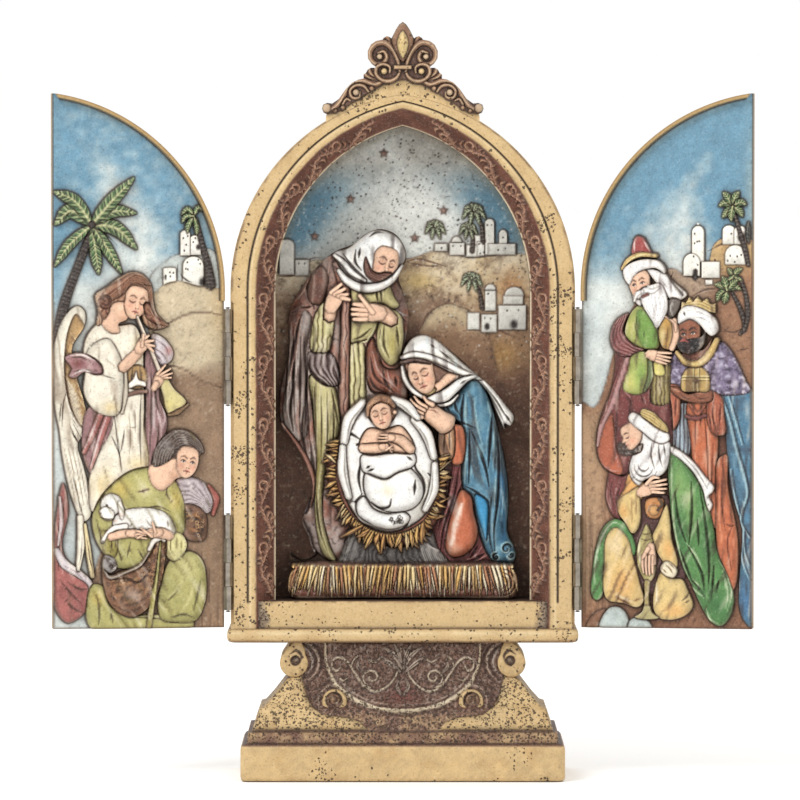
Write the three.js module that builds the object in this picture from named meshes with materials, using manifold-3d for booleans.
// Triptych altarpiece in cast and painted resin: an arched cabinet on a moulded pedestal, a nativity group
// in its niche, and two hinged wings in low relief. Millimetres, +Z up, the front towards -Y.
import * as THREE from 'three';
import { mergeVertices } from 'three/addons/utils/BufferGeometryUtils.js';
import Module from 'manifold-3d';

const wasm = await Module();
wasm.setup();

// Driving dimensions
const springZ = 194.5;                                   // where every arch leaves its straight side
const face = { front: -22, back: 22 };                   // the cabinet's front and back planes
const shell = { half: 68.5, apex: 273, bottom: 59.5 };
const bevel = { outerHalf: 58.3, outerApex: 267, innerHalf: 51, innerApex: 260.3, depth: 9 };
const niche = { floor: 71, back: 9.5 };
const sill = { half: 57.6, recess: 0.9, bottom: 60.4 };
const gable = { half: 30.5, footZ: 255, thick: 15 };
const moulding = { halfX: 70, halfY: 24, bottom: 54.5, top: 60.2, round: 1.3 };
const wing = { width: 69.4, side: 1.05, bottom: 60.5, ground: 4.2, back: 9.5, rim: 1.3, rimLift: 3.8 };
const wingRoom = { proud: 1.2, fromHinge: 20, floor: 75, arch: 0.74 };
const openAngle = THREE.MathUtils.degToRad(10);          // how far the open wings lean forward of flat
const axis = { x: 69.55, y: -22 };
const hinge = { length: 38, knuckles: 4, gap: 0.2, barrel: 1.8, bore: 0.85, pin: 0.7, head: 1.2 };
const leaf = { thick: 0.65, off: 0.25, from: 2.1, to: 9, inset: 0.3 };
const hingeFoot = { lower: 67.5, upper: 149.5 };
const rebate = { width: 1.25, depth: 2.2, bottom: 62, top: 190 };
const group = { back: 7.9, floor: 71.3 };

const paint = {
  gold: { color: 0xd9b878, roughness: 0.6, metalness: 0 },
  figures: { color: 0x9a7a5c, roughness: 0.55, metalness: 0 },
  sky: { color: 0x9fb9c4, roughness: 0.55, metalness: 0 },
  nickel: { color: 0x8a8680, roughness: 0.35, metalness: 1 },
};

// Solids and meshes

function toSolid(points, triangles) {
  let volume = 0;
  for (const [a, b, c] of triangles) {
    volume += points[a].clone().cross(points[b]).dot(points[c]);
  }
  const facing = volume > 0 ? triangles : triangles.map(([a, b, c]) => [a, c, b]);
  const vertProperties = new Float32Array(points.flatMap((p) => [p.x, p.y, p.z]));
  const triVerts = new Uint32Array(facing.flat());
  return new wasm.Manifold(new wasm.Mesh({ numProp: 3, vertProperties, triVerts }));
}

function geometrySolid(geometry) {
  const bare = geometry.clone();
  bare.deleteAttribute('normal');
  bare.deleteAttribute('uv');
  const merged = mergeVertices(bare, 1e-4);
  const spots = merged.getAttribute('position');
  const points = [];
  for (let i = 0; i < spots.count; i += 1) {
    points.push(new THREE.Vector3().fromBufferAttribute(spots, i));
  }
  const triangles = [];
  for (let i = 0; i < merged.index.count; i += 3) {
    triangles.push([merged.index.getX(i), merged.index.getX(i + 1), merged.index.getX(i + 2)]);
  }
  return toSolid(points, triangles);
}

function solidMesh(name, solid, finish) {
  const data = solid.getMesh();
  const geometry = new THREE.BufferGeometry();
  geometry.setAttribute('position', new THREE.BufferAttribute(data.vertProperties, 3));
  geometry.setIndex(new THREE.BufferAttribute(data.triVerts, 1));
  geometry.computeVertexNormals();
  const mesh = new THREE.Mesh(geometry, new THREE.MeshStandardMaterial(finish));
  mesh.name = name;
  return mesh;
}

function joined(solids) {
  return solids.reduce((whole, solid) => whole.add(solid));
}

// Equal rings of points, stacked from the first to the last and closed by flat ends.
function stack(rings, flatten) {
  const count = rings[0].length;
  const points = rings.flat();
  const triangles = [];
  for (let level = 0; level + 1 < rings.length; level += 1) {
    for (let i = 0; i < count; i += 1) {
      const a = level * count + i;
      const b = level * count + ((i + 1) % count);
      triangles.push([a, b, b + count], [a, b + count, a + count]);
    }
  }
  const capped = (ring, start, forward) => {
    const flat = ring.map(flatten);
    const turn = THREE.ShapeUtils.area(flat) > 0;
    for (const [a, b, c] of THREE.ShapeUtils.triangulateShape(flat, [])) {
      const along = cross2(flat[a], flat[b], flat[c]) > 0 === turn;
      const kept = along === forward;
      triangles.push(kept ? [start + a, start + b, start + c] : [start + a, start + c, start + b]);
    }
  };
  capped(rings[0], 0, false);
  capped(rings[rings.length - 1], (rings.length - 1) * count, true);
  return toSolid(points, triangles);
}

function cross2(a, b, c) {
  return (b.x - a.x) * (c.y - a.y) - (b.y - a.y) * (c.x - a.x);
}

const seenFromFront = (p) => new THREE.Vector2(p.x, p.z);
const seenFromAbove = (p) => new THREE.Vector2(p.x, p.y);

// An outline in X and Z, carried from one depth to another.
function prism(outline, yBack, yFront) {
  const ring = (y) => outline.map(([x, z]) => new THREE.Vector3(x, y, z));
  return stack([ring(yBack), ring(yFront)], seenFromFront);
}

function box(x0, x1, y0, y1, z0, z1) {
  return prism([[x0, z0], [x1, z0], [x1, z1], [x0, z1]], y1, y0);
}

// Arches

function archHeight(x, half, apex) {
  const rise = apex - springZ;
  const radius = (rise * rise + half * half) / (2 * half);
  const reach = Math.abs(x) + radius - half;
  return springZ + Math.sqrt(Math.max(0, radius * radius - reach * reach));
}

// Right-hand side of a pointed arch, from its springing to its apex.
function archSide(half, apex, steps = 8) {
  const rise = apex - springZ;
  const radius = (rise * rise + half * half) / (2 * half);
  const sweep = Math.asin(rise / radius);
  const points = [];
  for (let i = 0; i <= steps; i += 1) {
    const angle = (sweep * i) / steps;
    points.push([half - radius + radius * Math.cos(angle), springZ + radius * Math.sin(angle)]);
  }
  points[steps][0] = 0;
  return points;
}

function archOutline(half, apex, bottom, steps = 8) {
  const right = archSide(half, apex, steps);
  const left = right.slice(0, -1).reverse().map(([x, z]) => [-x, z]);
  return [[-half, bottom], [half, bottom], ...right, ...left];
}

// Relief: forms raised from a ground plane, in (across, up) with a rise towards the viewer.

function smoothLoop(points, count) {
  const curve = new THREE.CatmullRomCurve3(points.map(([a, b]) => new THREE.Vector3(a, b, 0)), true);
  return curve.getPoints(count).slice(0, -1).map((p) => [p.x, p.y]);
}

function smoothLine(points, count) {
  const curve = new THREE.CatmullRomCurve3(points.map(([a, b]) => new THREE.Vector3(a, b, 0)), false);
  return curve.getPoints(count).map((p) => [p.x, p.y]);
}

function nearestOnLine(point, line) {
  let best = line[0];
  let shortest = Infinity;
  for (let i = 0; i + 1 < line.length; i += 1) {
    const start = new THREE.Vector3(line[i][0], line[i][1], 0);
    const end = new THREE.Vector3(line[i + 1][0], line[i + 1][1], 0);
    const spot = new THREE.Line3(start, end).closestPointToPoint(new THREE.Vector3(...point, 0),
      true, new THREE.Vector3());
    const distance = Math.hypot(spot.x - point[0], spot.y - point[1]);
    if (distance < shortest) {
      shortest = distance;
      best = [spot.x, spot.y];
    }
  }
  return best;
}

function relief(place) {
  const buried = 0.9;
  const fewPoints = 11;                                  // a small outline needs no shoulder
  // A rounded form: its outline, the line that its crown follows, and its rise.
  function form(outline, spine, rise, { count = 10, shoulder = 0.5 } = {}) {
    const edge = smoothLoop(outline, count);
    const line = spine.length > 1 ? spine : [spine[0], spine[0]];
    const crown = [[0, -buried], [0.34, rise]];
    const levels = edge.length < fewPoints ? crown : [[0, -buried], [0, rise * shoulder], [0.42, rise]];
    const rings = levels.map(([inset, height]) => edge.map(([a, b]) => {
      const [sa, sb] = nearestOnLine([a, b], line);
      return place(a + (sa - a) * inset, b + (sb - b) * inset, height);
    }));
    return stack(rings, seenFromFront);
  }
  // A flat-topped block with upright edges.
  function slab(outline, rise) {
    return stack([-buried, rise].map((height) => outline.map(([a, b]) => place(a, b, height))),
      seenFromFront);
  }
  // A ridge along a line, with its half width and rise at the two ends and in the middle.
  function ridge(line, halves, rises, count = 3, start = -buried) {
    const path = smoothLine(line, count);
    const rings = path.map(([a, b], i) => {
      const before = path[Math.max(0, i - 1)];
      const after = path[Math.min(path.length - 1, i + 1)];
      const length = Math.hypot(after[0] - before[0], after[1] - before[1]);
      const side = [-(after[1] - before[1]) / length, (after[0] - before[0]) / length];
      const half = threeWay(halves, i / count);
      const rise = threeWay(rises, i / count);
      return [
        place(a + side[0] * half, b + side[1] * half, start),
        place(a, b, rise),
        place(a - side[0] * half, b - side[1] * half, start),
      ];
    });
    return ribbonSolid(rings);
  }
  return { form, slab, ridge };
}

function threeWay([first, middle, last], t) {
  return t < 0.5 ? first + (middle - first) * t * 2 : middle + (last - middle) * (t * 2 - 1);
}

// Three-point rings in a row, with a triangle at each end.
function ribbonSolid(rings) {
  const points = rings.flat();
  const triangles = [[0, 2, 1]];
  for (let k = 0; k + 1 < rings.length; k += 1) {
    for (let i = 0; i < 3; i += 1) {
      const a = k * 3 + i;
      const b = k * 3 + ((i + 1) % 3);
      triangles.push([a, b, b + 3], [a, b + 3, a + 3]);
    }
  }
  const end = (rings.length - 1) * 3;
  triangles.push([end, end + 1, end + 2]);
  return toSolid(points, triangles);
}

function spiral([x, z], outerRadius, innerRadius, startDegrees, turns, count) {
  const points = [];
  for (let i = 0; i <= count; i += 1) {
    const t = i / count;
    const angle = THREE.MathUtils.degToRad(startDegrees) + turns * 2 * Math.PI * t;
    const radius = outerRadius + (innerRadius - outerRadius) * t;
    points.push([x + radius * Math.cos(angle), z + radius * Math.sin(angle)]);
  }
  return points;
}

const mirrored = (points) => points.map(([x, z]) => [-x, z]);

// Pedestal and bottom moulding

function roundedRing(halfX, halfY, z, radius, steps = 1) {
  const ring = [];
  for (const [sx, sy, from] of [[1, -1, -90], [1, 1, 0], [-1, 1, 90], [-1, -1, 180]]) {
    for (let i = 0; i <= steps; i += 1) {
      const angle = THREE.MathUtils.degToRad(from + (90 * i) / steps);
      const x = sx * (halfX - radius) + radius * Math.cos(angle);
      const y = sy * (halfY - radius) + radius * Math.sin(angle);
      ring.push(new THREE.Vector3(x, y, z));
    }
  }
  return ring;
}

function pedestal() {
  const profile = [                                      // z, half width, half depth, corner radius
    [0, 63.8, 32.3, 3], [0.8, 64.5, 33, 3], [13.8, 64.5, 33, 3], [15, 63.4, 31.9, 3],
    [15.1, 62, 30.4, 1.5], [19.4, 61.6, 30, 1.5], [19.5, 60, 28.4, 1.5], [28.4, 57, 25.6, 1.5],
    [28.6, 55.4, 24.4, 1.5], [33, 51.6, 21, 1.5], [38.4, 47.6, 18.2, 1.5], [41, 45.2, 17.2, 1.5],
    [moulding.bottom + 0.4, 42.5, 17.4, 1.5],
  ];
  const body = stack(profile.map(([z, x, y, r]) => roundedRing(x, y, z, r)), seenFromAbove);
  const parts = [body];
  for (const side of [-1, 1]) {
    parts.push(scrollDrum(side * 43.4, 46.2, 5.6, 19.6));
    parts.push(scrollDrum(side * 27.2, 31, 4.9, 24.2));
  }
  parts.push(...pedestalCarving());
  return joined(parts);
}

// A drum lying front to back, whose ends are the eyes of two scrolls.
function scrollDrum(x, z, radius, halfY) {
  const drum = new THREE.CylinderGeometry(radius, radius, halfY * 2, 8);
  drum.translate(x, 0, z);
  return geometrySolid(drum);
}

// The carved shield and its scrolls, on the front alone: the back is left plain.
function pedestalCarving() {
  const wall = (z) => (z > 40 ? 17 : 17 + (40 - z) * 0.62);
  const on = relief((x, z, rise) => new THREE.Vector3(x, -wall(z) - rise, z));
  const rim = [[0, 27.6], [14, 29.2], [23, 33.5], [29, 42], [31.5, 52.5]];
  const stem = [[0.8, 47], [4, 38], [11, 35], [18, 40], [23, 46.6], [27.5, 42.5]];
  const parts = [];
  for (const turn of [(p) => p, mirrored]) {
    parts.push(on.ridge(turn(rim), [1.2, 1.3, 1.1], [2.3, 2.2, 1.6], 4));
    parts.push(on.ridge(turn(stem), [0.9, 0.9, 0.8], [1.7, 1.7, 1.4], 5));
    parts.push(on.ridge(turn(spiral([11.5, 40.8], 3.9, 1.4, 200, 1.1, 5)), [0.8, 0.8, 0.6],
      [1.6, 1.6, 1.5], 5));
    parts.push(on.ridge(turn([[1.2, 44], [4.6, 48], [6.8, 52]]), [0.8, 1.1, 0.5], [1.4, 1.7, 1.2], 2));
  }
  parts.push(on.ridge([[0, 41], [0, 47], [0, 53]], [0.6, 1.6, 0.6], [1.6, 2, 1.3], 2));
  return parts;
}

function bottomMoulding() {
  const { halfX, halfY, bottom, top, round } = moulding;
  const levels = [[bottom, round], [bottom + round, 0.2], [(bottom + top) / 2, 0], [top - round, 0.2],
    [top, round]];
  return stack(levels.map(([z, inset]) => roundedRing(halfX - inset, halfY - inset, z, 3)), seenFromAbove);
}

// Arched cabinet

function nicheCut() {
  const { outerHalf, outerApex, innerHalf, innerApex, depth } = bevel;
  const ring = (half, apex, y) => {
    return archOutline(half, apex, niche.floor).map(([x, z]) => new THREE.Vector3(x, y, z));
  };
  const slope = (outerHalf - innerHalf) / depth;
  const mouth = stack([
    ring(innerHalf, innerApex, face.front + depth),
    ring(outerHalf + slope * 0.5, outerApex + slope * 0.45, face.front - 0.5),
  ], seenFromFront);
  return mouth.add(prism(archOutline(innerHalf, innerApex, niche.floor),
    niche.back, face.front + depth - 0.5));
}

// Vine on the bevel: a waving stem with a curled leaf in each bend.
function bevelVine() {
  const wave = 16.6;
  const leafReach = 8.6;
  const { outerHalf, outerApex, innerHalf, innerApex, depth } = bevel;
  const outerSide = [[outerHalf, niche.floor + 1], ...archSide(outerHalf, outerApex, 24)];
  const innerSide = [[innerHalf, niche.floor + 1], ...archSide(innerHalf, innerApex, 24)];
  const lengths = [0];
  for (let i = 1; i < outerSide.length; i += 1) {
    const step = Math.hypot(outerSide[i][0] - outerSide[i - 1][0], outerSide[i][1] - outerSide[i - 1][1]);
    lengths.push(lengths[i - 1] + step);
  }
  const total = lengths[lengths.length - 1];
  const spot = (side, s) => {
    let i = 1;
    while (i < lengths.length - 1 && lengths[i] < s) {
      i += 1;
    }
    const t = (s - lengths[i - 1]) / (lengths[i] - lengths[i - 1]);
    return [0, 1].map((k) => side[i - 1][k] + (side[i][k] - side[i - 1][k]) * t);
  };
  const slant = Math.hypot(outerHalf - innerHalf, depth);
  const parts = [];
  for (const sign of [1, -1]) {
    const on = relief((v, s, rise) => {
      const [ox, oz] = spot(outerSide, s);
      const [ix, iz] = spot(innerSide, s);
      const lift = (rise * depth) / slant;
      const x = ox + (ix - ox) * v - lift * 0.5;
      return new THREE.Vector3(sign * x, face.front + depth * v - lift, oz + (iz - oz) * v);
    });
    for (let s = 3; s + wave < total; s += wave) {
      parts.push(on.ridge([[0.12, s], [0.62, s + wave * 0.46]], [0.08, 0.1, 0.12], [1, 1.1, 1.1], 1, -0.4));
      parts.push(on.ridge([[0.86, s + leafReach], [0.3, s + wave * 0.94]], [0.12, 0.1, 0.08],
        [1.1, 1, 1], 1, -0.4));
    }
  }
  return parts;
}

function crest() {
  const on = relief((x, z, rise) => new THREE.Vector3(x, face.front - rise, z));
  const half = [
    [0, 301.4], [2.6, 298.6], [4.6, 294.6], [6.4, 295.6], [8, 294.2], [10.5, 293.6], [13.6, 290.6],
    [13.9, 287.4], [11.6, 284.4], [10.6, 283], [13.2, 282.6], [15.2, 281], [15.4, 278.8], [19.4, 277.6],
    [22.6, 274.6], [25.4, 270.6], [28, 268.8], [31.2, 268.9], [32, 267], [30.2, 264.8], [gable.half, 264],
    [gable.half, gable.footZ],
  ];
  const board = [...half, ...mirrored(half.slice(1)).reverse()];
  const parts = [prism(board, face.front + gable.thick, face.front)];
  for (const turn of [(p) => p, mirrored]) {
    const scroll = (centre, radius, start, turns, count) => {
      parts.push(on.ridge(turn(spiral(centre, radius, 0.8, start, turns, count)), [0.9, 0.9, 0.7],
        [1.5, 1.5, 1.6], count));
    };
    scroll([9.4, 289.2], 4, 120, -1.3, 6);
    scroll([7.2, 282], 2.8, -60, 1.1, 4);
    scroll([18.2, 274.6], 2.9, 60, -1.1, 4);
    parts.push(on.ridge(turn([[0.9, 285], [3.2, 290], [7.4, 293]]), [0.8, 0.9, 0.8], [1.3, 1.6, 1.5], 2));
    parts.push(on.ridge(turn([[0.6, 281], [3.6, 278.6], [8, 278.8]]), [0.8, 0.9, 0.8], [1.3, 1.6, 1.3], 2));
    parts.push(on.ridge(turn([[9, 278.6], [16, 278.4], [22, 273.8], [27, 267.6]]), [0.8, 1.1, 1],
      [1.2, 1.6, 1.3], 4));
    const ball = [[28, 269.6], [31.6, 269.4], [31.6, 265.6], [28.2, 265.8]];
    parts.push(on.form(turn(ball), turn([[29.9, 267.6]]), 1.8, { count: 6 }));
  }
  parts.push(on.form([[0, 288.6], [-3.6, 293.4], [0, 300.6], [3.6, 293.4]], [[0, 291], [0, 297]], 2.2,
    { count: 8 }));
  parts.push(on.slab([[-3.2, 281.9], [3.2, 281.9], [3.2, 283.5], [-3.2, 283.5]], 1.9));
  return parts;
}

function nicheGround() {
  const on = relief((x, z, rise) => new THREE.Vector3(x, niche.back - rise, z));
  const parts = [];
  const hill = [[-51.4, 178], [-40, 199], [-20, 206], [4, 206.5], [12, 209.4], [26, 207], [40, 208.6],
    [51.4, 206], [51.4, 160], [-51.4, 150]];
  parts.push(on.slab(hill, 0.6));
  parts.push(on.slab([[9, 182], [13, 188], [20, 189], [27, 185.6], [27, 170], [9, 170]], 1));
  for (const [x0, x1, z0, z1] of [
    [12.6, 18, 209.6, 213.2], [18.6, 25, 208, 213.6], [25.4, 32.6, 208, 214.2], [33, 36.8, 208.6, 222.6],
    [38.6, 42, 209, 218.4], [26, 31, 178.4, 185.4], [32.8, 37.4, 176.6, 196.6], [39.4, 49.6, 178.6, 188.6],
    [-49.6, -43.4, 201, 214],
  ]) {
    parts.push(on.slab([[x0, z0], [x1, z0], [x1, z1], [x0, z1]], 1.1));
  }
  parts.push(on.slab(dome([21.8, 213.4], 2.7, 2.6), 1.1));
  parts.push(on.slab(dome([44.8, 188.4], 4, 6.4), 1.1));
  return parts;
}

function dome([x, z], half, height, steps = 4) {
  const points = [[x - half, z - 0.6], [x + half, z - 0.6]];
  for (let i = 0; i <= steps; i += 1) {
    const angle = (Math.PI * i) / steps;
    points.push([x + half * Math.cos(angle), z + height * Math.sin(angle)]);
  }
  return points;
}

function cabinet() {
  const body = prism(archOutline(shell.half, shell.apex, shell.bottom), face.back, face.front);
  const parts = [body, bottomMoulding(), pedestal(), ...crest()];
  let solid = joined(parts).subtract(nicheCut());
  const { half, recess, bottom } = sill;
  solid = solid.subtract(box(-half, half, face.front - 1, face.front + recess, bottom, niche.floor + 0.5));
  solid = joined([solid, ...nicheGround(), ...bevelVine()]);
  for (const side of [-1, 1]) {
    const edge = side * shell.half;
    const cut = [edge - side * rebate.width, edge + side].sort((a, b) => a - b);
    solid = solid.subtract(box(...cut, face.front - 1, face.front + rebate.depth, rebate.bottom, rebate.top));
  }
  return solidMesh('cabinet', solid, paint.gold);
}

// Nativity group: one casting, flat at its back, on a bed of straw

function joseph(on) {
  const cloak = [
    [-30, 208], [-38, 199], [-45.4, 185], [-46, 170], [-49.6, 150], [-48, 138], [-38.6, 123], [-36.4, 114],
    [-40, 103], [-35, 90], [-20, 84], [-12, 110], [-3, 150], [1, 172], [2.4, 187], [-4, 198], [-14, 206],
      [-24, 209.6],
  ];
  const parts = [
    on.form(cloak, [[-22, 192], [-26, 160], [-30, 110]], 9.6, { count: 13 }),
    on.form([[-27.6, 209], [-20, 213.6], [-11, 219], [-4, 217], [1, 210], [0.6, 203], [-6, 196],
      [-16, 194.4], [-24, 200]],
      [[-14, 204], [-8, 210]], 13.6, { count: 7 }),
    on.form([[-14, 208], [-8, 211.6], [-1.6, 208], [-4, 203], [-9, 198.4], [-14.6, 202]],
      [[-8.4, 205.4]], 14.6, { count: 6 }),
    on.form([[-33, 190], [-36.4, 180], [-36.6, 169.8], [-30, 169.4], [-27.2, 178], [-28, 187]],
      [[-32.6, 184], [-33, 174]], 13, { count: 6 }),
    on.ridge([[-31, 184], [-27.6, 189.6], [-24.4, 195.6]], [3.2, 3, 2.4], [13.6, 14.2, 13.4], 2),
    on.form([[-4.6, 187], [-10, 179], [-9.4, 170], [-5.6, 164.6], [-1.6, 168], [0, 177], [-0.6, 185]],
      [[-5, 180], [-5.4, 171]], 12.8, { count: 7 }),
    on.ridge([[-5, 183], [-11, 185.6], [-18.6, 186]], [3.4, 3.8, 3.4], [14, 14.2, 13], 4),
    on.ridge([[-22.6, 191], [-23.4, 165], [-21.6, 138]], [2, 2.4, 2], [12.2, 12, 12], 4),
    on.form([[-36, 160], [-28, 156], [-25.4, 146], [-26, 136], [-31, 126], [-34.4, 110], [-36.6, 140]],
      [[-31, 150], [-32.6, 126]], 11.6, { count: 7 }),
    on.form([[-33, 120], [-29, 104], [-25, 90], [-27, 86], [-32, 92], [-35, 106]], [[-32, 112],
      [-28, 92]], 11, { count: 6 }),
    on.ridge([[-37, 168], [-34, 160], [-26.4, 155.6]], [2.2, 2.6, 2], [11, 11.8, 11.4], 2),
    on.ridge([[-6, 164], [-10, 156], [-15, 148]], [2, 2.4, 1.4], [11, 11.4, 10.4], 2),
  ];
  for (const [top, foot] of [[[-42, 184], [-47, 146]], [[-39, 176], [-43, 134]], [[-38, 160],
    [-38.4, 128]], [[-17, 172], [-18, 148]]]) {
    const middle = [(top[0] + foot[0]) / 2 - 0.8, (top[1] + foot[1]) / 2];
    parts.push(on.ridge([top, middle, foot], [1.1, 1.9, 1.2], [9, 10.4, 8.4], 2));
  }
  return parts;
}

function mary(on) {
  const parts = [
    on.form([[13, 128], [24, 126], [31, 98], [36, 87], [30, 84], [14, 84], [12, 104]], [[19, 122],
      [23, 92]], 11, { count: 7 }),
    on.form([[27, 159.4], [32, 157], [36, 148], [40, 134], [42.4, 114], [42, 98], [45.6, 88], [41, 84.6],
      [35, 88], [30, 98], [27, 112],
      [24, 122], [23.4, 141], [17, 147], [20, 153]], [[27, 150], [32, 126], [37, 96]], 13.4, { count: 10 }),
    on.form([[0, 167], [1.4, 172.4], [6, 176.4], [12, 175], [18, 170.6], [27, 161.4], [32, 158],
      [25, 158.4], [18, 153], [10, 150],
      [5.4, 152.6], [1.6, 159]], [[7, 168], [16, 162]], 15.6, { count: 8 }),
    on.form([[1, 165], [7, 166.6], [15, 163.4], [19, 161], [15, 156.4], [11, 154], [5, 158]],
      [[9, 160.6]], 16.6, { count: 6 }),
    on.ridge([[29, 158.6], [36.4, 151.4], [42.6, 142.4]], [3.2, 3.2, 2.6], [12.6, 12.4, 9], 4),
    on.ridge([[22, 139.6], [14, 142.6], [5.6, 148.6]], [3, 3.4, 3], [15, 16.4, 16.6], 4),
    on.form([[16, 141.4], [24, 140], [24.2, 126], [15.6, 127]], [[20, 137], [20, 130]], 14, { count: 6 }),
    on.form([[22.4, 115], [27, 111.4], [30, 102], [29, 93], [23.6, 87.4], [18.6, 89.4], [17, 97],
      [19.4, 107]], [[24, 108], [23, 95]], 16, { count: 7 }),
  ];
  for (const [top, foot] of [[[31, 150], [39.6, 104]], [[28, 142], [35, 118]], [[26, 136], [25.6, 116]],
    [[35, 118], [41, 90]]]) {
    const middle = [(top[0] + foot[0]) / 2, (top[1] + foot[1]) / 2];
    parts.push(on.ridge([top, middle, foot], [1, 1.8, 1.2], [12.6, 13.8, 11], 2));
  }
  return parts;
}

function child(on) {
  return [
    on.slab([[-21, 99], [-25.4, 83.6], [18.4, 83.6], [9.6, 99]], 13),
    on.form([[-29.4, 132], [-30.4, 120], [-27, 107], [-21, 98.4], [-12, 92], [-4, 88.6], [4, 92],
      [11.4, 98], [16, 106], [17.2, 117],
      [13, 128], [-6, 140], [-22, 140]], [[-8, 124], [-6, 112]], 14.2, { count: 10, shoulder: 0.86 }),
    on.form([[-20, 145], [-25, 137], [-25.6, 124], [-22.6, 111], [-16, 103], [-7, 98.6], [2, 100],
      [9, 105], [13.6, 114], [14.4, 125],
      [11, 136], [2, 146], [-8, 151]], [[-9, 136], [-5, 114]], 17.6, { count: 10, shoulder: 0.8 }),
    on.form([[-14, 147], [-13, 142], [-8.6, 138.8], [-4, 141.4], [-2.8, 147], [-6, 151.8], [-11, 151.8]],
      [[-8.6, 145.6]], 21, { count: 6, shoulder: 0.75 }),
    on.ridge([[-17, 130.6], [-11, 131.6], [-4.6, 133]], [2.4, 2.2, 1.6], [19.4, 20, 19.6], 2),
    on.ridge([[4, 130.8], [-0.6, 135.6], [-6.6, 136.6]], [2.6, 2.4, 1.6], [19.2, 20.2, 20], 2),
    on.form([[-15.4, 122], [-7, 120.6], [1, 124], [7, 121], [8.6, 114], [6, 109], [-3, 106.4],
      [-11.6, 108.6], [-15.8, 115]],
      [[-6, 115], [0, 116]], 20, { count: 7, shoulder: 0.86 }),
    on.ridge([[-19, 108], [-12, 102.6], [-2, 101.6]], [1.6, 2, 1.4], [17.8, 18.6, 17.6], 2),
  ];
}

function strawBed(on) {
  const bed = { half: 46, top: 84.6, rise: 21.4, straws: 11, middle: 77.4, rim: 2.5 };
  const front = [[-44, group.floor], [44, group.floor], [46, 75.6], [45, 80.6], [41, bed.top],
    [-41, bed.top], [-45, 80.6], [-46, 75.6]];
  const parts = [on.slab(front, bed.rise - 2.4)];
  const outer = front.map(([x, z]) => [x * 0.975, Math.min(z, bed.top - 1)]);
  const inner = outer.map(([x, z]) => [x * 0.96, z > group.floor ? bed.middle + (z - bed.middle) * 0.72 : z]);
  const ring = (points, y) => points.map(([x, z]) => new THREE.Vector3(x, y, z));
  const facing = group.back - bed.rise;
  parts.push(stack([ring(outer, facing + bed.rim), ring(inner, facing)], seenFromFront));
  for (let i = 0; i < bed.straws; i += 1) {
    const x = -bed.half + 4 + ((bed.half * 2 - 8) * i) / (bed.straws - 1);
    const lean = 1.8 * Math.sin(i * 2.4) + x * 0.03;
    const low = group.floor + 1 + 0.8 * Math.sin(i * 1.7);
    parts.push(on.ridge([[x, bed.top - 1.4], [x + lean, low]], [0.5, 1, 0.5],
      [bed.rise - 1.4, bed.rise + 1.2, bed.rise - 1], 2));
  }
  return parts;
}

function holyFamily() {
  const on = relief((x, z, rise) => new THREE.Vector3(x, group.back - Math.max(rise, 0), z));
  const parts = [...joseph(on), ...mary(on), ...child(on), ...strawBed(on)];
  return solidMesh('holy_family', joined(parts), paint.figures);
}

// Wings: u runs out from the hinge axis, the relief faces -Y of the wing's own frame

function palm(on, crown, fronds, trunk, size) {
  const parts = fronds.map(([bend, tip]) => on.ridge([crown, bend, tip], [size * 0.5, size, size * 0.35],
    [1.8, 2.2, 1.2], 2));
  parts.push(on.ridge(trunk, [size * 0.55, size * 0.6, size * 0.7], [1.6, 1.6, 1.2], 2));
  return parts;
}

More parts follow.
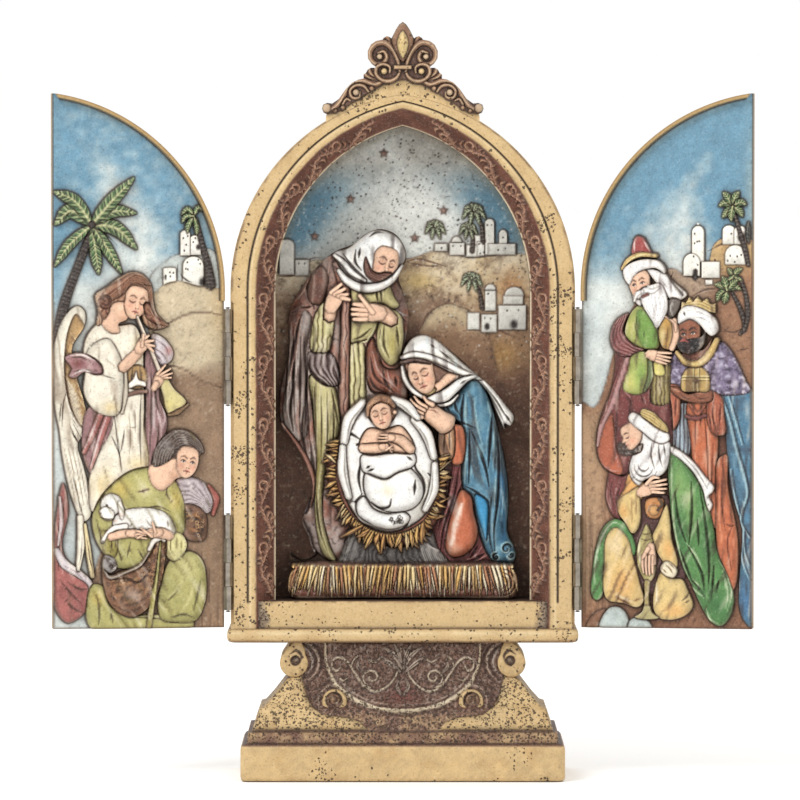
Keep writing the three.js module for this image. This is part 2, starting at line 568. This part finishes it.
function angel(on) {
  return [
    on.form([[60, 188.6], [66, 183], [68.6, 172], [68.6, 150], [66, 134], [60, 106], [57, 103.4],
      [54.6, 107], [57, 124], [61, 140],
      [60, 160], [63, 174], [57, 184]], [[65, 176], [66, 150], [59, 114]], 2.8, { count: 10 }),
    on.form([[56, 175], [50, 181.4], [43, 180], [36, 179.6], [33, 168], [33, 150], [32.6, 126],
      [42, 121], [50, 112], [54, 108], [55, 124],
      [51, 140], [56, 158]], [[46, 172], [42, 150], [46, 124]], 3.9, { count: 10 }),
    on.form([[55, 172], [57.4, 160], [55.6, 150], [51, 146], [45, 145.6], [43, 151], [42.6, 163],
      [47, 172]], [[50, 166], [49, 152]], 4.7, { count: 7 }),
    on.form([[52, 188], [51.6, 194], [46, 197], [42, 201], [36, 202], [31, 198.6], [29.6, 191],
      [24.6, 181.4], [31, 179], [36, 186], [46, 186]],
      [[46, 191], [37, 195], [31, 187]], 4.2, { count: 7 }),
    on.form([[45, 191], [38, 197], [33, 197], [32, 190], [36, 184.4], [42, 183.6], [50, 181], [49, 185]],
      [[38, 190], [44, 186]], 4.8, { count: 7 }),
    on.ridge([[41.4, 164], [37, 170], [32, 174.6]], [2.6, 2.4, 2.6], [4.6, 4.8, 4.9], 2),
    on.ridge([[36.4, 184], [31.4, 172.6], [26.6, 161]], [0.7, 0.7, 0.9], [4.7, 4.9, 4.6], 2),
    on.form([[28, 162], [26, 152], [23.4, 146], [16.6, 150.2], [22, 156], [26, 162.6]], [[25.6, 158],
      [21.6, 150.4]], 4.2, { count: 6 }),
    on.ridge([[28, 157.4], [25.4, 161.6], [23.6, 164.6]], [2, 2.6, 1.8], [4.3, 4.8, 4.4], 2),
    on.form([[65, 166.6], [62, 169.6], [56, 169.4], [50.6, 165.6], [50.6, 162.6], [57, 162.6],
      [62, 160.6]], [[61, 165.6], [54, 165]], 4, { count: 6 }),
    on.form([[29, 176.6], [24.6, 175.4], [21.6, 170], [25, 165.6], [29, 168]], [[26, 171]], 3.4,
      { count: 6 }),
    on.ridge([[31, 166], [27, 148], [27.6, 128]], [2.2, 3, 1.6], [3.2, 3.4, 2.4], 4),
    on.ridge([[49, 147], [54.6, 134], [56.4, 124]], [1.6, 1.8, 1], [4, 4, 3], 2),
    on.ridge([[37.6, 152], [37, 138], [37.4, 124]], [1.2, 1.6, 1.2], [4.2, 4.6, 4.2], 2),
    on.ridge([[44.6, 144], [43, 134], [43, 124]], [1, 1.6, 1], [4, 4.5, 4.2], 2),
    on.ridge([[60, 103], [59.4, 94], [60, 84]], [1.6, 1.8, 1], [2.4, 2.6, 1.6], 2),
    on.form([[68.4, 100], [64.4, 118], [63.6, 104], [66, 92], [61, 85], [54.6, 78], [54.4, 72], [58, 66],
      [64, 63.4], [68.4, 70]],
      [[66, 104], [66, 90], [61, 74]], 3, { count: 7 }),
  ];
}

function shepherd(on) {
  const parts = [
    on.form([[19, 120], [10, 118.6], [5, 112], [6, 105], [9, 104], [8.6, 96], [14, 95], [20, 101],
      [18, 110]], [[13, 113], [12, 102]], 2.6, { count: 7 }),
    on.form([[30, 124.4], [38, 124], [45, 118.6], [53, 109], [54, 99], [49, 92], [44, 84], [22, 88],
      [16.6, 97], [17, 110], [21, 119.4]],
      [[34, 116], [34, 96]], 3.7, { count: 7 }),
    on.form([[28.6, 125], [26.6, 133], [22, 138.4], [16, 138], [11, 133], [13, 128], [20, 124]],
      [[21, 132], [16, 133]], 3.8, { count: 7 }),
    on.form([[20, 132], [13, 130.6], [11.6, 125.4], [15, 121.4], [20, 120], [24, 118.6], [29.6, 119],
      [31, 124], [25, 127.6]],
      [[17, 126], [26, 122]], 4.4, { count: 7 }),
    on.form([[51, 105], [50, 110.4], [46, 114.6], [41.6, 113], [40.6, 106.6], [45, 103.6]], [[46, 109]],
      5.2, { count: 6 }),
    on.form([[45, 106], [38, 108.4], [30, 108], [24, 106], [21, 100], [23, 97], [32, 99], [40, 100],
      [45, 101]], [[40, 104], [27, 103]], 4.9, { count: 7 }),
    on.ridge([[47.6, 96.4], [42, 98], [36, 97]], [1.6, 1.8, 1.4], [4.8, 5, 4.8], 2),
    on.ridge([[22.6, 97.4], [28, 98.6], [35, 97.6]], [2, 2.2, 1.4], [4.7, 5.2, 4.9], 2),
    on.form([[24.4, 97], [17, 97], [16, 92], [20, 88], [24, 90]], [[20.6, 94]], 4.4, { count: 6 }),
    on.form([[47, 98], [50, 94], [48, 89.4], [44, 92]], [[47.4, 94]], 4.4, { count: 6 }),
    on.form([[49.4, 86], [50.4, 76], [46, 68.4], [39, 65.6], [33, 69], [28, 76], [25, 88], [28.6, 97],
      [31, 92], [36, 85], [43, 83]],
      [[46, 77], [38, 74], [30, 84]], 4.6, { count: 7 }),
    on.form([[23.6, 84], [20, 89.4], [14, 90.6], [10, 87], [8.6, 79], [9.4, 69], [13, 63.6], [22, 65],
      [26, 72]], [[16, 82], [17, 71]], 3.7, { count: 7 }),
    on.form([[54, 77], [50, 76], [46, 67], [30, 66], [14, 63.6], [14, 61.2], [54, 61.2]], [[50, 66],
      [22, 62.8]], 2.8, { count: 7 }),
  ];
  return parts;
}

function leftGround(on) {
  const fronds = [
    [[46, 231], [37, 239.6]], [[45, 227.4], [36, 225.6]], [[43, 221], [35.6, 211.6]], [[47, 212],
      [41, 201.4]],
    [[52, 210], [51, 201]], [[62, 214], [68.4, 205.4]], [[62, 226], [68.4, 221]], [[60, 231.6],
      [68.4, 234.6]],
  ];
  const parts = palm(on, [54, 221], fronds, [[54, 218], [60, 203], [65, 189], [68, 176]], 2.9);
  parts.push(...palm(on, [14, 224], [[[16, 226.4], [18.4, 224]], [[15, 221], [15.6, 217.6]]], [[12, 222],
    [9, 210], [6.6, 198]], 1.7));
  parts.push(on.slab([[29, 193], [25, 196.6], [19, 198.4], [4, 195.8], [2.2, 185], [2.2, 61], [52, 61],
    [30, 150]], 0.7));
  for (const [u0, u1, z0, z1] of [[14.4, 18.6, 209.6, 217.4], [10.6, 14.8, 210.4, 216.4],
    [20.4, 25.4, 197.6, 203.6], [9.4, 17.6, 197, 204.4]]) {
    parts.push(on.slab([[u0, z0], [u1, z0], [u1, z1], [u0, z1]], 1.5));
  }
  parts.push(on.slab(dome([13.4, 204.4], 4, 4), 1.5));
  return parts;
}

function standingKings(on) {
  return [
    on.form([[19, 185], [13, 178], [15, 170], [12.4, 157], [8, 143], [7, 132], [11, 123], [11, 113],
      [15, 104.6], [18, 114], [21, 124],
      [32, 140], [36, 156], [30, 172]], [[20, 172], [18, 150], [14, 126]], 3.6, { count: 10 }),
    on.form([[24.4, 189], [20, 183], [18.4, 176.6], [24, 173.6], [30, 172], [32.6, 180], [29, 186]],
      [[25, 182], [27, 177]], 3.9, { count: 6 }),
    on.form([[21, 209.4], [22.4, 214.4], [24.6, 216], [27, 214], [30, 208.6]], [[25, 211.4]], 3.2,
      { count: 6 }),
    on.form([[18, 202], [18.6, 206], [23, 209], [30, 209], [34.6, 205], [34.4, 201.4], [27, 198],
      [20, 198]], [[23, 204], [30, 204]], 4.2, { count: 7 }),
    on.form([[28.6, 203], [34, 202], [38, 197.6], [43.4, 193], [38, 190.6], [33, 193]], [[32, 199],
      [38, 194]], 3.7, { count: 6 }),
    on.form([[20.4, 199], [26, 202], [31, 197], [30, 193], [22, 192]], [[25.6, 197.6]], 4.8, { count: 6 }),
    on.form([[21.6, 192.6], [26, 195], [33, 196], [35.4, 188], [33, 182], [31, 180], [27, 186]],
      [[29, 191], [31, 185]], 5, { count: 6 }),
    on.form([[21, 169], [26.4, 170], [29, 163], [27.6, 156], [22, 154], [18.4, 156], [19.6, 163]],
      [[24, 165], [23, 158]], 4.6, { count: 6 }),
    on.ridge([[27, 170], [32, 169.6], [37.4, 168.4]], [2.2, 2.4, 1.6], [4.8, 5, 4.6], 2),
    on.form([[34, 184.6], [31.6, 179], [32.4, 173.6], [36, 171.6], [38.6, 177], [37, 184]], [[35, 180],
      [35, 175.6]], 4.4, { count: 6 }),
    on.form([[57, 174], [62, 168.6], [67, 158], [68.4, 154], [55, 153], [36, 157], [38, 168], [46, 164]],
      [[60, 164], [42, 160]], 3.8, { count: 7 }),
    on.form([[40, 186], [42, 189.4], [47.6, 190.4], [54, 187.6], [56.4, 181], [55, 177.4], [48, 181],
      [42, 182]], [[45, 186], [52, 183]], 4.6, { count: 7 }),
    on.form([[40, 182], [45, 183.6], [49.6, 181], [51.4, 176], [48.6, 171.6], [43, 170.4], [39.6, 174]],
      [[45, 177]], 5, { count: 6 }),
    on.ridge([[40.6, 169], [47, 166], [55, 174]], [1.6, 2, 1.6], [4.4, 4.9, 4.3], 5),
    on.form([[42, 155.6], [41.6, 161.4], [44.4, 164.2], [49.4, 164.4], [52.4, 161.6], [52.6, 155.4]],
      [[45, 160], [49, 160]], 5.2, { count: 6 }),
    on.ridge([[38, 155], [45, 152.4], [53, 153.4]], [2.4, 2.6, 2.4], [4.4, 4.8, 4.4], 4),
    on.form([[35, 156.6], [36, 148], [35.6, 140.6], [39, 140], [41, 150], [40, 156]], [[38, 153],
      [38, 144]], 4.2, { count: 6 }),
    on.form([[53, 154], [57.6, 152], [58.6, 139], [54, 138], [52.4, 146]], [[55.4, 150], [56, 142]], 4.2,
      { count: 6 }),
    on.form([[44, 150], [46, 130], [54.6, 112], [55, 78], [62, 76], [64, 102], [60, 118], [58, 138],
      [56, 150]], [[51, 142], [57, 118], [59, 86]], 3.2, { count: 7 }),
    on.form([[56.6, 155], [68.4, 155], [68.4, 64], [64.4, 72], [63.6, 100], [60, 116], [58.6, 138]],
      [[63, 148], [66, 120], [66.6, 76]], 3.6, { count: 7 }),
    on.ridge([[42, 147], [41.6, 140], [43.6, 131]], [2, 2.4, 1.6], [2.2, 2.4, 1.8], 2),
  ];
}

function kneelingKing(on) {
  return [
    on.form([[36, 133], [43, 127], [50, 115], [54, 104], [56, 90], [61, 80], [62, 70], [57, 61.6],
      [52, 66], [46, 76], [40, 88], [36.6, 106]],
      [[40, 122], [46, 98], [55, 72]], 4.7, { count: 10 }),
    on.form([[26, 137], [31, 134], [36, 134], [36, 126], [31, 119], [25, 118], [21, 124], [22, 128.6]],
      [[29, 131], [28, 123]], 4.9, { count: 7 }),
    on.form([[21.6, 146], [20.4, 143.4], [26, 139], [33, 134], [36.6, 135.4], [36, 138], [29, 142]],
      [[24, 143], [33, 137.4]], 5.2, { count: 6 }),
    on.form([[25, 146], [30, 147.6], [36.4, 141.4], [35, 138.6], [28, 142]], [[29, 145], [34, 141]], 4.7,
      { count: 6 }),
    on.form([[21, 142], [17.4, 137.4], [19, 133], [23, 131.6], [26, 135], [26, 139]], [[22.4, 136.6]],
      4.6, { count: 6 }),
    on.ridge([[38, 131.4], [46, 125.6], [53.6, 116.4]], [1.8, 2.6, 2.4], [4.7, 5, 4.2], 4),
    on.form([[20, 120], [16, 111.6], [18.6, 104], [22, 98.6], [25, 103], [25.6, 112], [25, 118]],
      [[21, 113], [22, 104]], 4.6, { count: 7 }),
    on.ridge([[25, 114.6], [30, 117], [34.6, 117.6]], [2.2, 2.6, 2.2], [5, 5.2, 4.8], 2),
    on.form([[27, 111], [34, 112], [36.6, 108], [38, 95], [40, 84], [35, 84.6], [31, 92], [28, 99]],
      [[33, 104], [36, 90]], 4.2, { count: 7 }),
    on.form([[15, 103], [9, 97], [5.6, 82], [5.6, 72], [11, 70.6], [25, 69], [26, 74], [22.6, 90],
      [19, 100]], [[15, 92], [15, 78]], 3.1, { count: 7 }),
    on.form([[15, 100], [11, 95], [10, 78], [12, 71.6], [24, 69], [26, 74], [22, 88], [19, 98]],
      [[15.4, 92], [17, 77]], 3.75, { count: 7 }),
    on.form([[34, 83], [31, 75], [30, 66.4], [36, 64.4], [45, 67.4], [43, 75], [40, 82]], [[36, 78],
      [37, 70]], 4.2, { count: 6 }),
    on.form([[27, 101.4], [24, 95], [23.6, 86], [26.6, 79.4], [31, 80], [32, 90], [30, 97]], [[27.4, 95],
      [28, 85]], 4.9, { count: 6 }),
    on.ridge([[27.6, 80], [27.6, 74], [27.6, 66.4]], [1.2, 1, 2.6], [4.2, 3.8, 3.4], 2),
    on.form([[9, 61.4], [10, 66], [14, 68.6], [18, 67], [19.4, 61.4]], [[14.2, 64]], 3, { count: 6 }),
    on.form([[20, 61.4], [23, 64.6], [27, 64.2], [29, 61.4]], [[24.4, 62.8]], 2.6, { count: 6 }),
  ];
}

function rightGround(on) {
  const parts = [on.slab([[2.2, 150], [8, 146], [16, 176], [36, 203], [45, 199], [56, 199], [68.4, 210],
    [68.4, 61], [2.2, 61]], 0.6)];
  for (const [u0, u1, z0, z1] of [[45.2, 50, 206, 218.4], [41.8, 48.4, 201, 207], [49, 56.4, 200, 206.6],
    [57.6, 66.6, 213.4, 219.8], [58, 66.6, 205, 211]]) {
    parts.push(on.slab([[u0, z0], [u1, z0], [u1, z1], [u0, z1]], 1.5));
  }
  parts.push(on.slab(dome([47.6, 218.2], 2.4, 3), 1.5));
  const fronds = [[[58, 199], [55.6, 200.4]], [[57, 194], [55, 191]], [[61, 193], [63, 189.6]],
    [[63, 197], [66, 194]]];
  parts.push(...palm(on, [60, 197], fronds, [[61, 196], [65, 188], [67, 178.6]], 1.7));
  return parts;
}

function wingPanel(side) {
  const { width, side: from, bottom, ground, back, rim } = wing;
  const archEdge = (inset) => archSide(shell.half, shell.apex, 10).map(([x, z], i, all) => {
    const angle = Math.atan2(z - springZ, x - all[0][0] + 79.19);
    return [axis.x - x + inset * Math.cos(angle), z - inset * Math.sin(angle)];
  });
  const outlineFor = (inset, foot) => {
    const arch = archEdge(inset).filter(([u]) => u < width - 0.2);
    const top = archHeight(axis.x - width, shell.half, shell.apex) - inset;
    return [[width, foot], [from + inset, foot], ...arch, [width, top]];
  };
  const at = (points) => points.map(([u, z]) => [side * u, z]);
  const panel = prism(at(outlineFor(0, bottom)), back, ground);
  const raised = prism(at(outlineFor(0, springZ - 4)), ground + 1, ground - wing.rimLift);
  const inner = outlineFor(rim, springZ - 5).map(([u, z]) => [u === width ? width + 2 : u, z]);
  return panel.add(raised.subtract(prism(at(inner), ground + 2, ground - wing.rimLift - 1)));
}

// The room a closed wing has: flush all round, and proud only over the open niche.
function wingEnvelope(side) {
  const { proud, fromHinge, floor, arch } = wingRoom;
  const flush = wing.ground - wing.rimLift;
  const cuboid = (u0, u1, y0, y1, z0, z1) => box(Math.min(side * u0, side * u1),
    Math.max(side * u0, side * u1), y0, y1, z0, z1);
  const whole = cuboid(0, wing.width, flush, wing.back + 1, 50, 280);
  const lowered = ([x, z]) => [axis.x - x + 1, springZ + (z - springZ) * arch];
  const mouth = archSide(bevel.innerHalf, bevel.innerApex, 8).map(lowered);
  const over = [[wing.width, floor], [fromHinge, floor], ...mouth.filter(([u]) => u < wing.width - 1),
    [wing.width, 240]];
  return whole.add(prism(over.map(([u, z]) => [side * u, z]), flush + 1, -proud));
}

function wingMesh(name, side, forms) {
  const on = relief((u, z, rise) => new THREE.Vector3(side * u, wing.ground - rise, z));
  let solid = joined([wingPanel(side), ...forms.flatMap((build) => build(on))]).intersect(wingEnvelope(side));
  const edge = [side * (wing.side - 1), side * (wing.side + rebate.width)].sort((a, b) => a - b);
  solid = solid.subtract(box(...edge, -2, rebate.depth, 50, rebate.top));
  return solidMesh(name, solid, paint.sky);
}

// Hinges: two knuckles on each leaf, turning on a loose pin

// Section through a knuckle: a round barrel with its strap running back, for a leaf on the +X side.
function knuckleOutline() {
  const sides = 6;
  const far = wing.side - leaf.off;
  const near = far - leaf.thick;
  const start = Math.acos(near / hinge.barrel);
  const sweep = 2 * Math.PI - start + Math.acos(far / hinge.barrel);
  const outline = [[far, leaf.from + 1], [near, leaf.from + 1]];
  for (let i = 0; i <= sides; i += 1) {
    const angle = start + (sweep * i) / sides;
    outline.push([hinge.barrel * Math.cos(angle), hinge.barrel * Math.sin(angle)]);
  }
  return outline;
}

function boreOutline(sides = 6) {
  return Array.from({ length: sides }, (_, i) => {
    const angle = (2 * Math.PI * i) / sides;
    return new THREE.Vector2(hinge.bore * Math.cos(angle), hinge.bore * Math.sin(angle));
  });
}

// A leaf's knuckles, every second one, joined by the plate behind them.
function hingeLeaf(name, outward, firstKnuckle) {
  const { length, knuckles, gap } = hinge;
  const pitch = length / knuckles;
  const outline = knuckleOutline().map(([x, y]) => new THREE.Vector2(outward * x, y));
  const shape = new THREE.Shape(outline);
  shape.holes.push(new THREE.Path(boreOutline()));
  const far = outward * (wing.side - leaf.off);
  const near = far - outward * leaf.thick;
  let solid = box(Math.min(near, far), Math.max(near, far),
    leaf.from, leaf.to, leaf.inset, length - leaf.inset);
  for (let k = firstKnuckle; k < knuckles; k += 2) {
    const knuckle = new THREE.ExtrudeGeometry(shape, { depth: pitch - gap, bevelEnabled: false });
    solid = solid.add(geometrySolid(knuckle.translate(0, 0, k * pitch + gap / 2)));
  }
  return solidMesh(name, solid, paint.nickel);
}

function hingePin(name) {
  const { length, pin, head } = hinge;
  const lip = 0.5;
  const clear = 0.3;
  const profile = [
    [0, -clear - lip], [head, -clear - lip * 0.4], [pin, -clear], [pin, length + clear],
    [head, length + clear + lip * 0.4], [0, length + clear + lip],
  ].map(([r, z]) => new THREE.Vector2(r, z));
  const shape = new THREE.LatheGeometry(profile, 6).rotateX(Math.PI / 2);
  return solidMesh(name, geometrySolid(shape), paint.nickel);
}

// Assembly

const altarpiece = new THREE.Group();
altarpiece.name = 'triptych_altarpiece';
altarpiece.add(cabinet(), holyFamily());

for (const [label, side, forms] of [
  ['left', -1, [leftGround, angel, shepherd]],
  ['right', 1, [rightGround, standingKings, kneelingKing]],
]) {
  const swing = new THREE.Group();
  swing.position.set(side * axis.x, axis.y, 0);
  swing.rotation.z = -side * openAngle;
  swing.add(wingMesh(`wing_${label}`, side, forms));
  const fixed = new THREE.Group();
  fixed.position.set(side * axis.x, axis.y, 0);
  for (const [level, foot] of Object.entries(hingeFoot)) {
    const wingLeaf = hingeLeaf(`hinge_${label}_${level}_wing_leaf`, side, 1);
    const cabinetLeaf = hingeLeaf(`hinge_${label}_${level}_cabinet_leaf`, -side, 0);
    const pin = hingePin(`hinge_${label}_${level}_pin`);
    for (const mesh of [wingLeaf, cabinetLeaf, pin]) {
      mesh.position.z = foot;
    }
    swing.add(wingLeaf);
    fixed.add(cabinetLeaf, pin);
  }
  altarpiece.add(swing, fixed);
}

export default altarpiece;
